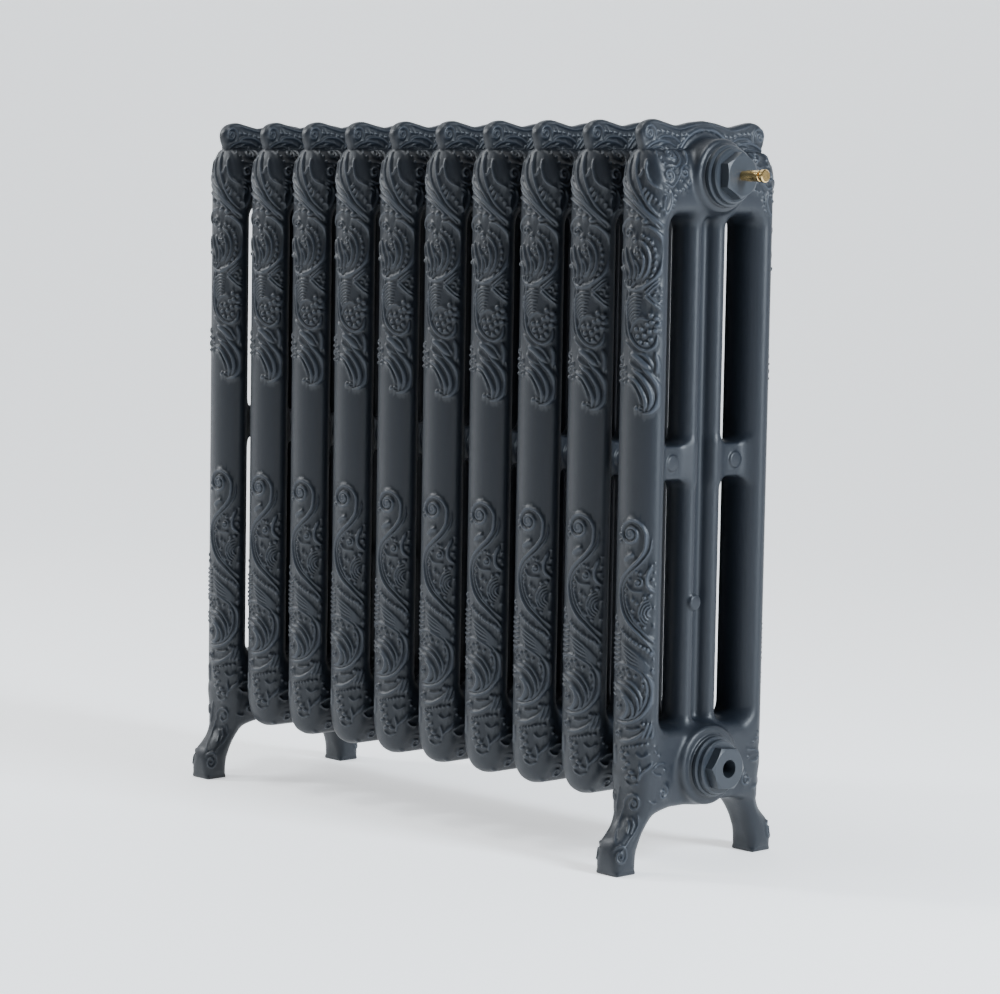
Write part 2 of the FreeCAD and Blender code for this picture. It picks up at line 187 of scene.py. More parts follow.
def half_ellipse(centre, half, reach, steps=24):
    """Half an ellipse from one flank to the other, bulging by reach along y."""
    angles = np.linspace(0, math.pi, steps + 1)
    return [(half * math.cos(angle), centre + reach * math.sin(angle)) for angle in angles]


def column_plan():
    """The front column from above: flat flanks and a rounded back."""
    back = half_ellipse(PANEL_TURN, PANEL_HALF, PANEL_BACK - PANEL_TURN)
    return back + [(-PANEL_HALF, FACE + 20), (PANEL_HALF, FACE + 20)]


def lobe_plan():
    """One of the two round lobes of the middle column."""
    return (half_ellipse(LOBE_OFFSET, LOBE_HALF, LOBE_DEPTH)
            + half_ellipse(LOBE_OFFSET, -LOBE_HALF, -LOBE_DEPTH))


def foot_distance(x, y, z):
    """A leg that leaves the casting's lower corner and curls out to a toe."""
    toe = curve(TOE)
    heel = curve([(86, 3), (85, 14), (82, 24), (75, 41), (64, 56), (50, 66)])
    side = outline_distance(y[:, None], z[None, :], toe + [(113, 0), (87, 0)] + heel + [(50, 110)])
    flank = curve([(26.5, 110), (25.5, 96), (22.5, 64), (20, 40), (19, 24), (18.5, 10), (17, 0)])
    front = outline_distance(x[:, None], z[None, :], flank + [(17, -20), (-20, -20), (-20, 110)])
    rounding = np.interp(z, [0, 5, 25], [3.0, 11.0, 17.0])[None, None, :]
    return meet(side[None, :, :], front[:, None, :], rounding)


def disc(radius_field, radius, x, half, blend):
    """A short cylinder along x with rounded rims."""
    return meet((radius_field - radius)[None, :, :], np.abs(x)[:, None, None] - half, blend)


def crowned_body(x, y, z, has_feet):
    """The outer form, whose front bulges: the outline moves in away from the middle plane."""
    long_y = np.arange(0, y[-1] + 16, GRID)
    side = outline_distance(long_y[:, None], z[None, :], side_outline(has_feet))
    body = np.empty((len(x), len(y), len(z)), np.float32)
    for row, place in enumerate(x):
        drop = CROWN * min(abs(place), PANEL_HALF) ** 2 / GRID
        whole = int(drop)
        part = drop - whole
        body[row] = (side[whole:whole + len(y)] * (1 - part)
                     + side[whole + 1:whole + 1 + len(y)] * part)
    front = outline_distance(x[:, None], z[None, :], front_outline(has_feet))[:, None, :]
    rounding = np.interp(z, [SHOULDER, NECK], [9.0, 4.0])[None, None, :]
    return meet(body, front, rounding)


def columns_and_headers(x, y, z):
    """The front column and the middle lobes, joined above and below the windows."""
    across, along = x[:, None], y[None, :]
    lobes = join(outline_distance(across, along, lobe_plan()),
                 meet(across - LOBE_TIE_HALF, along - LOBE_OFFSET, 2.0), 4.0)
    plan = np.minimum(outline_distance(across, along, column_plan()), lobes)[:, :, None]
    sides = x[:, None, None] - PANEL_HALF
    high = meet(WINDOW_HIGH - z[None, None, :], sides, 18.0)
    low = meet(z[None, None, :] - WINDOW_LOW, sides, 18.0)
    return join(join(plan, high, 14.0), low, 14.0)


def with_web(shape, x, y, z):
    """The bar that ties the front column to the middle one, and its studs."""
    web = meet(x[:, None, None] - WEB_HALF, np.abs(y[None, :, None] - WEB_MIDDLE) - WEB_LONG_HALF, 5.0)
    web = meet(web, np.abs(z[None, None, :] - WEB_HEIGHT) - WEB_TALL_HALF, 5.0)
    shape = join(shape, web, 12.0)
    stud = np.hypot(y[:, None] - STUD_MIDDLE, z[None, :] - WEB_HEIGHT)
    return join(shape, disc(stud, STUD_RADIUS, x, WEB_HALF + STUD_PROUD, 2.0), 1.5)


def with_hub(shape, x, y, z, height, root):
    """A stepped hub at one port height, bored through."""
    radius = np.hypot(y[:, None], z[None, :] - height)
    shape = join(shape, disc(radius, root, x, HUB_ROOT_FACE, 5.0), 7.0)
    shape = join(shape, disc(radius, HUB_RING, x, HUB_FACE, 2.0), 2.0)
    return np.maximum(shape, (HUB_BORE - radius)[None, :, :])


def casting_distance(x, y, z, has_feet):
    """The whole casting, on a grid of one quarter of it."""
    shape = meet(crowned_body(x, y, z, has_feet), columns_and_headers(x, y, z), 3.0)
    if has_feet:
        shape = join(shape, foot_distance(x, y, z), 8.0)
    shape = with_web(shape, x, y, z)
    shape = with_hub(shape, x, y, z, PORT_LOW, HUB_ROOT_LOW)
    return with_hub(shape, x, y, z, PORT_HIGH, HUB_ROOT_HIGH)


def both_ways(field, axis):
    """A field for one side of a plane of symmetry, doubled to both sides."""
    back = np.flip(field, axis)
    keep = [slice(None)] * 3
    keep[axis] = slice(0, -1)
    return np.concatenate([back[tuple(keep)], field], axis)


def both_sides(values):
    """Grid places on both sides of zero, from those on one side."""
    return np.concatenate([-values[:0:-1], values])


def surface(field, corner):
    """Points and four-sided faces of a field's surface."""
    grid = openvdb.FloatGrid()
    grid.background = float(field.max())
    grid.copyFromArray(np.ascontiguousarray(field, np.float32))
    points, quads = grid.convertToQuads(isovalue=0.0)
    return points * GRID + corner, quads


# ---- ornament ----

def spiral(centre, outer, inner, start, turns, flat=1.0):
    """A spiral that winds inwards, anticlockwise for positive turns."""
    t = np.linspace(0, 1, int(abs(turns) * 16) + 1)
    radius = outer * (inner / outer) ** t
    angle = math.radians(start) + t * turns * math.tau
    return [(centre[0] + r * math.cos(a), centre[1] + flat * r * math.sin(a))
            for r, a in zip(radius, angle)]


def beside(points, gap):
    """The same curve moved sideways, to the left of its direction for a positive gap."""
    line = smooth_path(points, 3.0)
    run = np.gradient(line, axis=0)
    run /= np.hypot(*run.T)[:, None]
    return [tuple(point) for point in line + gap * np.stack([-run[:, 1], run[:, 0]], axis=1)]


class Drawing:
    """Ornament height over a flat area, drawn as ribs and beads."""

    # every stroke is drawn this much wider and higher than its own numbers say
    BOLD = 1.2
    LIFT = 1.25

    def __init__(self, low, high):
        self.u = np.arange(low[0], high[0] + DRAWING_STEP, DRAWING_STEP)
        self.v = np.arange(low[1], high[1] + DRAWING_STEP, DRAWING_STEP)
        self.height = np.zeros((len(self.v), len(self.u)))

    def patch(self, low, high):
        """The rows and columns of the drawing between two corners."""
        return (slice(*np.searchsorted(self.v, [low[1], high[1]])),
                slice(*np.searchsorted(self.u, [low[0], high[0]])))

    def raise_to(self, place, dome):
        """Raise part of the drawing to a dome, where it isn't higher already."""
        self.height[place] = np.maximum(self.height[place], dome)

    def rib(self, points, width=2.4, height=1.4, ends=(0.35, 0.35)):
        """A rounded ridge along a curve, thinner at its ends."""
        width, height = width * self.BOLD, height * self.LIFT
        line = smooth_path(points, 0.8)
        along = np.linspace(0, 1, len(line))
        taper = np.minimum(1, np.minimum(ends[0] + along * 5, ends[1] + (1 - along) * 5))
        for p, q, start, end in zip(line, line[1:], taper, taper[1:]):
            reach = width / 2 * max(start, end)
            place = self.patch(np.minimum(p, q) - reach, np.maximum(p, q) + reach)
            u, v = self.u[None, place[1]] - p[0], self.v[place[0], None] - p[1]
            step = q - p
            t = np.clip((u * step[0] + v * step[1]) / max(step @ step, 1e-9), 0, 1)
            grown = start + (end - start) * t
            away = np.hypot(u - t * step[0], v - t * step[1]) / (width / 2 * grown)
            dome = height * np.minimum(1, 0.4 + 0.6 * grown) * np.sqrt(np.clip(1 - away ** 2, 0, 1))
            self.raise_to(place, dome)

    def bead(self, centre, radius=1.6, height=1.5, long=1.0, tilt=0.0):
        """A round or oval stud."""
        radius, height = radius * self.BOLD, height * self.LIFT
        reach = radius * max(long, 1)
        place = self.patch(np.array(centre) - reach, np.array(centre) + reach)
        u, v = self.u[None, place[1]] - centre[0], self.v[place[0], None] - centre[1]
        c, s = math.cos(math.radians(tilt)), math.sin(math.radians(tilt))
        along = (u * c + v * s) / (radius * long)
        across = (v * c - u * s) / radius
        self.raise_to(place, height * np.sqrt(np.clip(1 - along ** 2 - across ** 2, 0, 1)))

    def bead_row(self, points, count, radius=1.6, height=1.5, long=1.0):
        """Studs along a curve; oval ones lie along it."""
        line = smooth_path(points, 0.8)
        run = np.gradient(line, axis=0)
        for index in np.linspace(0, len(line) - 1, count).astype(int):
            tilt = math.degrees(math.atan2(run[index, 1], run[index, 0]))
            self.bead(line[index], radius, height, long, tilt)

    def sample(self, u, v):
        """The height at any points, between the grid lines."""
        i = np.clip((u - self.u[0]) / DRAWING_STEP, 0, len(self.u) - 1.001)
        j = np.clip((v - self.v[0]) / DRAWING_STEP, 0, len(self.v) - 1.001)
        i0, j0 = i.astype(int), j.astype(int)
        fi, fj = i - i0, j - j0
        h = self.height
        return ((h[j0, i0] * (1 - fi) + h[j0, i0 + 1] * fi) * (1 - fj)
                + (h[j0 + 1, i0] * (1 - fi) + h[j0 + 1, i0 + 1] * fi) * fj)


def upper_panel(relief):
    """The relief of the front face above the plain band: u is across it, v is the height."""
    # leaves that cross below the shoulder
    relief.rib([(-26, 702), (-16, 691), (-4, 683), (8, 673), (17, 665), (25, 657), (29, 650)], 3.0, 1.7)
    relief.rib([(-24, 691), (-12, 683), (0, 676), (10, 668), (19, 660), (25, 652)], 2.6, 1.5)
    relief.rib([(-26, 681), (-14, 677), (-2, 672), (8, 666), (16, 658)], 2.4, 1.4)
    relief.rib([(-1, 727), (0, 711), (4, 698), (9, 686), (16, 674), (25, 663)], 3.0, 1.6)
    relief.rib([(-8, 724), (-10, 708), (-5, 694), (4, 682), (13, 670)], 2.4, 1.4)
    relief.rib([(-17, 718), (-20, 704), (-16, 696)], 2.2, 1.2)
    relief.rib([(-1, 707), (3, 703), (7, 705), (9, 711)], 2.0, 1.3)
    relief.rib([(11, 720), (12, 708), (17, 697), (26, 690)], 2.4, 1.5)
    for k in range(3):
        low = 684 - 4.5 * k
        relief.rib([(7 + 3.6 * k, low), (10 + 3.2 * k, low + 4), (13 + 2.6 * k, low + 8)], 2.2, 1.5)
    relief.bead_row([(18, 684), (23, 678), (27, 670)], 4, 1.3, 1.2)
    relief.rib([(28.6, 684), (28.8, 674), (28.6, 665)], 2.4, 1.4)
    relief.rib(spiral((-12, 671), 4.5, 1.2, 150, -1.2), 1.6, 1.3)
    relief.bead((-3, 668), 1.6, 1.3, 1.8, -10)
    # the crescent and its plume
    relief.rib(spiral((-7, 646), 6.5, 1.2, 10, 1.3), 2.2, 1.6)
    relief.rib([(-17, 644), (-19, 652), (-12, 659), (-2, 662)], 2.6, 1.6)
    relief.bead((4, 661), 1.9, 1.7, 1.5, 20)
    relief.bead((12, 658), 1.9, 1.7, 1.5, -20)
    crescent = [(10, 653), (18, 652.5), (25, 646), (28.5, 635), (28.5, 620), (25.5, 607), (20, 599),
                (12, 594), (2, 592)]
    relief.rib(crescent, 2.8, 2.0)
    relief.bead_row([(10.5, 644), (19, 638), (23, 624), (21, 607), (16, 599)], 9, 1.2, 1.8, 1.7)
    relief.rib([(6, 640), (14, 634), (18, 623), (16.5, 609), (11, 600)], 2.2, 1.9)
    relief.rib([(9, 629), (12.5, 620), (11, 609), (7, 601)], 2.6, 1.8)
    relief.rib([(-20, 630), (-17, 616), (-10, 606), (-12, 597)], 2.0, 1.5)
    relief.rib([(-13, 633), (-9, 620), (-4, 610), (-6, 598)], 2.4, 1.7)
    relief.rib([(-6, 631), (0, 620), (2.5, 610), (0, 599)], 2.4, 1.7)
    relief.rib([(1, 620), (6, 614), (7, 606), (4, 599)], 2.2, 1.6)
    relief.rib(spiral((1, 639), 4.2, 1.0, 200, -1.1), 1.7, 1.4)
    for place in ((5, 626), (8.5, 630), (4, 632), (7, 621), (1.5, 626)):
        relief.bead(place, 1.3, 1.5)
    relief.bead((-22, 611), 2.0, 1.3)
    # the tie and the crossed ribbon
    for start in (-14, -9, -3, 3):
        relief.rib([(start, 600), (start * 0.5 - 3, 594), (-5, 588)], 1.8, 1.4)
    relief.rib([(-8, 592), (4, 590), (14, 593)], 2.6, 1.6)
    for lift in (0, 4):
        relief.rib([(13, 586 + lift), (20, 579 + lift), (28, 570 + lift)], 1.9, 1.6)
        relief.rib([(13, 582 + lift), (19, 589 + lift), (26, 597 + lift)], 1.9, 1.6)
    relief.rib([(14, 584), (22, 577), (29, 580)], 1.6, 1.2)
    for place in ((24, 589), (27, 583), (27.5, 592), (22.5, 585), (28.4, 588)):
        relief.bead(place, 1.2, 1.4)
    # the basket of berries
    relief.rib([(-4, 589), (-7, 574), (-6, 558), (-2, 544), (7, 534), (17, 530), (24, 535), (25.5, 545)],
               2.6, 1.7)
    relief.rib([(-9, 590), (-12, 570), (-11, 552), (-6, 540)], 1.6, 1.0)
    for k in range(8):
        reach = 13 + 3.4 * k
        arc = [(6 + 0.62 * reach * math.cos(math.radians(a)), 549 + reach * math.sin(math.radians(a)))
               for a in (150, 128, 104, 78)]
        relief.rib(arc, 1.7, 1.3)
    relief.rib([(-2, 548), (2, 557), (10, 562), (18, 560)], 1.8, 1.4)
    relief.rib([(1, 547), (6, 540), (13, 535), (20, 536)], 1.6, 1.2)
    berries = ((7, 544), (10, 538), (16, 537), (20, 541), (14, 545), (19, 549), (24, 550), (11, 551),
               (17, 556), (21, 558), (24.5, 562), (25, 555), (5, 551), (20, 565))
    for place in berries:
        relief.bead(place, 1.9, 2.0)
    relief.bead((28.4, 557), 3.2, 1.8)
    relief.rib([(26.5, 548), (28.6, 552), (28.8, 562)], 1.8, 1.3)
    # the heart leaf and the curls beside it
    relief.rib([(-10, 540), (-2, 533), (8, 527), (18, 527)], 2.0, 1.3)
    relief.rib([(0, 527), (7, 523), (14, 517), (21, 511)], 5.0, 2.0, (0.5, 0.1))
    relief.rib([(10, 528), (18, 523), (23, 514)], 2.6, 1.5)
    relief.rib([(24.5, 528), (26, 517), (25.5, 507)], 2.6, 1.6)
    relief.rib([(-4, 519), (4, 513), (13, 509)], 2.0, 1.3)
    for centre, turn in (((-17, 520), 1.1), ((-12, 512), -1.1), ((-18, 505), 1.1), ((-11, 499), -1.2)):
        relief.rib(spiral(centre, 4.2, 1.0, 40, turn), 1.6, 1.3)
    for place in ((-21, 513), (-8, 506), (-21, 498)):
        relief.bead(place, 1.4, 1.3)
    # the acanthus that ends the upper relief
    relief.rib([(-5, 504), (5, 500), (12.5, 490), (17, 479), (16, 470)], 3.6, 2.0)
    relief.rib([(1, 511), (12, 504), (20, 492), (22, 480), (19.5, 470)], 3.6, 2.0)
    relief.rib([(12, 514), (22, 504), (27, 491), (26.5, 478), (22, 469), (14, 467)], 3.4, 2.0)
    relief.rib([(27, 512), (29, 498), (28.5, 482)], 2.0, 1.3)
    relief.rib([(-6, 499), (3, 495), (9, 486), (12, 477)], 1.8, 1.2)
    relief.bead((7, 472), 2.1, 1.8)
    relief.rib(spiral((12, 472), 2.8, 0.8, 300, -0.9), 1.4, 1.4)


def lower_panel(relief):
    """The relief of the front face below the plain band."""
    # the volute and its stem
    stem = [(20.5, 341), (19, 330), (13, 320), (4, 311), (-4, 303), (-9, 292), (-8.5, 279),
            (-3.5, 265), (5, 254), (15, 245), (24.5, 234), (28.5, 222)]
    volute = spiral((4, 346), 16.5, 2.0, 350, 2.8)
    relief.rib(volute[::-1] + stem[1:], 2.8, 2.1, (0.6, 0.35))
    relief.rib(beside(stem, 4.2), 2.0, 1.4)
    relief.bead((4, 346), 2.2, 2.0)
    for place in ((-10, 350), (-12, 344), (-11.5, 337.5)):
        relief.bead(place, 2.0, 1.4)
    relief.rib([(-4, 318), (2, 322.5), (8, 325)], 4.6, 1.8, (0.15, 0.15))
    relief.bead_row(beside(stem[4:9], 8.0), 9, 1.5, 1.3)
    # inside the bend of the stem
    relief.rib(spiral((13, 297), 6.0, 1.2, 100, -1.4), 2.0, 1.6)
    relief.bead((13, 297), 1.6, 1.6)
    relief.bead_row([(3, 304), (9, 308), (15, 306), (20, 304)], 5, 1.4, 1.4)
    relief.rib([(25, 315), (21.5, 303), (22.5, 294), (27, 288)], 2.8, 1.8)
    for place in ((27.5, 307), (28.2, 295), (27.6, 317), (25.5, 300)):
        relief.bead(place, 1.3, 1.3)
    relief.rib([(0, 296), (4, 290), (10, 288), (18, 288)], 1.8, 1.2)
    for k in range(4):
        reach = 4.5 + 3.2 * k
        arc = [(26 + 0.8 * reach * math.cos(math.radians(a)), 267 + reach * math.sin(math.radians(a)))
               for a in (105, 140, 180, 220, 250)]
        relief.rib(arc, 1.8, 1.5)
    for place in ((16, 265), (19.5, 282), (24, 284), (12, 276), (20, 252), (14, 257), (27.5, 253),
                  (27.8, 272), (8, 268), (7, 279)):
        relief.bead(place, 1.5, 1.6)
    relief.rib([(-2, 284), (2, 272), (9, 260), (18, 250)], 2.0, 1.3)
    # the diagonal of beads, the ladder at its left and the fan below it
    relief.bead_row([(-6, 248), (2, 242), (11, 236), (20, 231)], 9, 1.7, 1.8)
    for place in ((23, 229), (25.5, 226), (28, 219), (28.8, 212), (27, 208)):
        relief.bead(place, 1.4, 1.6, 1.8, 90)
    for k in range(7):
        relief.rib([(-21, 243 - 5 * k), (-15, 242 - 5 * k), (-9, 242.5 - 5 * k)], 2.6, 1.5)
    relief.bead((-16, 252), 2.6, 1.5)
    relief.bead((-18, 259), 2.2, 1.3)
    for k in range(5):
        fan = [(-8 + 2 * k, 236 - 4.5 * k), (6, 229 - 4 * k), (16, 222 - 3 * k), (25, 212 - 2 * k)]
        relief.rib(fan, 2.4, 0.9)
    # the swirl shell
    relief.rib([(-22, 206), (-12, 213), (2, 213), (14, 208), (22, 202)], 2.0, 1.5)
    studs = ((-13, 207), (-9, 203), (-4, 207), (2, 208), (5, 203), (12, 202), (-6, 199), (-14, 200))
    for place in studs:
        relief.bead(place, 1.5, 1.6)
    shell = [(20, 208), (25.5, 199), (27.2, 187), (24.5, 172), (17, 160), (4, 154), (-12, 154)]
    relief.rib(shell, 3.0, 2.0)
    relief.rib(beside(shell, -3.8), 2.0, 1.5)
    relief.rib([(-6, 182), (2, 178), (4.5, 169), (0, 160), (-8, 158)], 4.0, 2.2)
    relief.rib(spiral((-8, 170), 5.0, 1.2, 60, 1.2), 2.0, 1.7)
    relief.rib([(-18, 189), (-3, 185), (8, 175), (10.5, 164), (5, 156)], 2.8, 1.8)
    relief.rib([(-15, 195), (4, 191), (13.5, 181), (16, 169), (11.5, 158)], 2.6, 1.7)
    relief.rib([(-2, 199), (10, 194), (18, 182), (19, 168)], 2.4, 1.6)
    for place in ((20, 193), (22.5, 186), (19.5, 199), (22, 178)):
        relief.bead(place, 1.3, 1.6, 1.6, 80)
    for k in range(3):
        relief.rib([(-22, 192 - 5 * k), (-14, 189 - 5 * k)], 1.7, 1.2)
    # curls, strokes and studs towards the foot
    relief.rib(spiral((-9, 142), 5.0, 1.2, 330, 1.3), 2.0, 1.6)
    relief.rib([(-8, 135), (6, 136), (17, 142), (24, 150)], 2.6, 1.7)
    relief.rib([(0, 148), (10, 147), (18, 150)], 1.8, 1.3)
    for k in range(3):
        relief.rib([(20 + 3.2 * k, 139), (22.5 + 2.8 * k, 147), (24.5 + 2.2 * k, 156)], 2.0, 1.6)
    relief.bead((20.5, 154), 1.7, 1.6)
    relief.bead_row([(-4, 128), (8, 130), (24, 134)], 8, 1.3, 1.4)
    relief.rib([(-17, 130), (-15, 120), (-17, 110)], 7.0, 1.0, (0.2, 0.2))
    for place, tilt in (((-3, 124), 10), ((4, 122), 0), ((-1, 117), -10), ((5, 112), 20), ((0, 107), 0),
                        ((9, 104), -15), ((5, 99), 10), ((13, 99), -10)):
        relief.bead(place, 1.6, 1.7, 1.9, tilt)
    relief.rib([(22, 105), (26, 111), (29, 118)], 2.2, 1.5)
    relief.rib([(18, 100), (23, 107), (27, 112)], 1.8, 1.3)
    relief.rib([(14, 124), (20, 120), (26, 124)], 1.6, 1.1)
    relief.rib([(2, 95), (10, 91), (18, 94)], 1.8, 1.2)
    relief.rib([(17, 112), (19, 104), (18, 96)], 2.2, 1.4)


def flank_ornament(relief):
    """Crest, shoulder and lower end seen from the ends: u is the distance from the middle."""
    # along the crest
    relief.rib(spiral((80, 746), 10.5, 1.8, 230, -1.9), 2.3, 1.5)
    relief.rib([(69, 757), (56, 753.5), (38, 750.5), (20, 754), (4, 757)], 1.5, 1.0)
    relief.bead_row([(66, 748), (52, 747), (38, 744), (22, 746), (4, 749)], 10, 1.2, 1.3, 1.5)
    relief.rib([(72, 738), (60, 743), (46, 742), (34, 735)], 2.2, 1.4)
    relief.rib([(66, 734), (54, 737), (42, 733)], 1.8, 1.2)
    relief.rib([(0, 751), (14, 749), (28, 741), (38, 729), (44, 716)], 3.6, 2.0)
    # the scrolls of the shoulder
    relief.rib([(50, 738), (68, 738), (82, 732), (89, 721), (90, 708), (85, 697), (74, 691)], 2.6, 1.7)
    relief.rib([(62, 733), (74, 731), (81, 724), (84, 714), (82, 704)], 1.9, 1.3)
    relief.rib(spiral((63, 725), 7.5, 1.6, 80, 1.5), 2.0, 1.7)
    relief.rib(spiral((73, 704), 8.0, 1.6, 250, -1.5), 2.0, 1.7)
    relief.rib(spiral((50, 707), 8.0, 1.6, 100, -1.4, 0.8), 2.0, 1.7)
    relief.rib([(80, 697), (70, 693), (62, 699), (56, 707), (50, 714), (43, 712)], 2.0, 1.6)
    relief.rib([(56, 732), (51, 727), (53, 718), (61, 713), (68, 715)], 2.0, 1.6)
    for place in ((66, 711), (57, 722), (55, 699), (60, 719), (76, 716), (77, 722)):
        relief.bead(place, 1.4, 1.5)
    relief.bead_row([(62, 689), (56, 689), (49, 692), (43, 697)], 5, 1.4, 1.5)
    relief.rib(spiral((80, 682), 7.0, 1.5, 160, -1.5), 2.0, 1.6)
    relief.rib([(72, 690), (69, 680), (73, 669), (82, 661)], 2.2, 1.5)
    relief.rib(spiral((80, 667), 4.2, 1.2, 30, 1.2), 1.7, 1.4)
    relief.bead_row([(64, 684), (65, 677), (68, 670)], 4, 1.3, 1.4)
    # curls beside the lower hub
    relief.rib([(93, 110), (87, 103), (79, 108), (71, 113), (61, 113)], 2.0, 1.4)
    relief.rib([(80, 107), (74, 102), (66, 101)], 1.7, 1.2)
    relief.rib(spiral((83, 121), 5.0, 1.2, 30, 1.3), 1.8, 1.4)
    relief.rib([(92, 97), (86, 92), (79, 94)], 1.7, 1.3)
    relief.rib([(88, 135), (81, 131), (74, 132)], 1.8, 1.3)
    for place in ((70, 121), (75, 125), (88, 114), (62, 106)):
        relief.bead(place, 1.4, 1.4)
    relief.rib(spiral((62, 82), 8.5, 1.6, 100, 1.5), 2.0, 1.5)
    relief.rib([(96, 94), (88, 84), (79, 75), (70, 72)], 2.0, 1.3)


def leg_ornament(relief):
    """The leg's drawing is wrapped round it: u is zero on the ridge, and its corner is near 22."""
    relief.rib(spiral((13, 72), 12.5, 2.2, 205, -1.8), 2.4, 1.2)
    relief.bead((13, 72), 1.6, 1.2)
    relief.rib([(2, 69), (-2, 58), (-1, 47), (5, 38), (12, 33)], 2.2, 1.0)
    relief.rib([(20, 62), (25, 53), (27, 42), (26, 33), (21, 25)], 2.2, 1.0)
    relief.rib([(14, 58), (19, 51), (22, 43)], 1.8, 0.9)
    relief.rib([(8, 56), (13, 50), (17, 43)], 1.8, 0.9)
    relief.rib(spiral((21, 21), 12.0, 2.0, 150, -1.9), 2.4, 1.2)
    relief.rib(spiral((-21, 21), 12.0, 2.0, 30, 1.9), 2.4, 1.2)
    relief.rib([(-6, 88), (-9, 74), (-10, 62)], 2.2, 0.9)
    relief.rib(spiral((-17, 76), 6.5, 1.5, 60, 1.4), 1.9, 1.0)


def ease(low, high, value):
    """Zero up to low, one from high, and smooth between them."""
    t = np.clip((value - low) / (high - low), 0, 1)
    return t * t * (3 - 2 * t)


def ornament_height(points, normals, face, flank, leg=None):
    """How far each surface point is lifted by the drawing that faces it."""
    x, y, z = points.T
    turned = x * -np.sign(y)
    outward = normals[:, 1] * np.sign(y)
    above_leg = ease(84, 92, z) if leg else 1.0
    on_face = ease(0.15, 0.5, outward) * ease(74, 79, np.abs(y))
    on_flank = ease(0.25, 0.55, np.abs(normals[:, 0])) * (1 - on_face)
    clear = ease(HUB_RING + 7, HUB_RING + 11, np.hypot(y, z - PORT_HIGH)) + ease(724, 734, z)
    clear = np.minimum(clear, 1) * ease(HUB_RING + 11, HUB_RING + 15, np.hypot(y, z - PORT_LOW))
    lift = face.sample(turned, z) * on_face * above_leg
    lift += flank.sample(np.abs(y), z) * on_flank * clear
    if leg is None:
        return lift
    toe = np.array(TOE[::-1])
    behind = np.maximum(np.interp(z, toe[:, 1], toe[:, 0]) - np.abs(y), 0)
    around = (np.abs(x) + behind) * np.sign(turned)
    on_leg = ease(0.2, 0.6, np.maximum(outward, np.abs(normals[:, 0]))) * ease(3, 6, z)
    return lift + leg.sample(around, z) * on_leg * (1 - above_leg) * ease(70, 82, np.abs(y))


def mesh_points(mesh, kind="vertices", value="co"):
    """The places of a mesh's points, or their normals, as rows of three numbers."""
    data = np.empty(len(getattr(mesh, kind)) * 3, np.float32)
    getattr(mesh, kind).foreach_get(value, data)
    return data.reshape(-1, 3).astype(float)


def fewer_faces(mesh, most):
    """The same surface with no more than so many triangles, and no long thin ones."""
    triangles = 2 * len(mesh.polygons)
    helper = bpy.data.objects.new("helper", mesh)
    bpy.context.scene.collection.objects.link(helper)
    evenly = helper.vertex_groups.new(name="evenly")
    evenly.add(range(len(mesh.vertices)), 0.5, "REPLACE")
    thin = helper.modifiers.new("thin", "DECIMATE")
    thin.ratio = min(1.0, most / triangles)
    thin.vertex_group = evenly.name
    thin.vertex_group_factor = EVENNESS
    graph = bpy.context.evaluated_depsgraph_get()
    result = bpy.data.meshes.new_from_object(helper.evaluated_get(graph))
    bpy.data.objects.remove(helper)
    return result


def nearest_of(points, wanted):
    """For each wanted point, the number of the nearest of many points."""
    tree = KDTree(len(points))
    for index, point in enumerate(points.tolist()):
        tree.insert(point, index)
    tree.balance()
    return [tree.find(point)[1] for point in wanted.tolist()]


def add_boss(field, x, y, z):
    """The round boss on one side of the front lobe, added to the part of the field near it."""
    inner = slice(len(x) // 2, None)
    middle = slice(*np.searchsorted(y, [BOSS_Y - BOSS_ROOM, BOSS_Y + BOSS_ROOM]))
    upright = slice(*np.searchsorted(z, [BOSS_HEIGHT - BOSS_ROOM, BOSS_HEIGHT + BOSS_ROOM]))
    x, y, z = x[inner], y[middle], z[upright]
    away = np.hypot(y[:, None] - BOSS_Y, z[None, :] - BOSS_HEIGHT)
    boss = meet((away - BOSS_RADIUS)[None, :, :], np.maximum(x - BOSS_FACE, -x)[:, None, None], 2.5)
    near = (inner, middle, upright)
    field[near] = join(field[near], boss, 2.5)


def casting_mesh(name, has_feet, face, flank, leg=None):
    """A finished casting: its surface, lifted by the ornament and thinned to few enough faces."""
    x = np.arange(0, 43, GRID)
    y = np.arange(0, 122 if has_feet else 98, GRID)
    z = np.arange(-4 if has_feet else 54, 766, GRID)
    field = casting_distance(x, y, z, has_feet)
    field = both_ways(both_ways(field, 0), 1)
    x, y = both_sides(x), both_sides(y)
    add_boss(field, x, y, z)
    points, quads = surface(field, np.array([x[0], y[0], z[0]]))
    mesh = bpy.data.meshes.new(name)
    mesh.from_pydata(points.tolist(), [], quads.tolist())
    normals = mesh_points(mesh, "vertex_normals", "vector")
    height = ornament_height(points, normals, face, flank, leg)
    lifted = points + normals * height[:, None]
    mesh.vertices.foreach_set("co", lifted.ravel())
    mesh.update()
    normals = mesh_points(mesh, "vertex_normals", "vector")
    thinned = fewer_faces(mesh, MOST_FACES)
    thinned.name = name
    kept = mesh_points(thinned)
    close = nearest_of(lifted, kept)
    thinned.vertices.foreach_set("co", (kept * MM).ravel())
    thinned.update()
    thinned.shade_smooth()
    thinned.normals_split_custom_set_from_vertices(normals[close].tolist())
    # the ornament's height at each point, kept for the paint's painted highlight on raised ornament
    highlight_height = thinned.attributes.new("highlight_height", "FLOAT", "POINT")
    highlight_height.data.foreach_set("value", height[close].astype(np.float32))
    return thinned


# ---- materials ----

def new_material(name):
    """A material, its node tree and its shader."""
    material = bpy.data.materials.new(name)
    material.use_nodes = True
    tree = material.node_tree
    return material, tree, tree.nodes["Principled BSDF"]


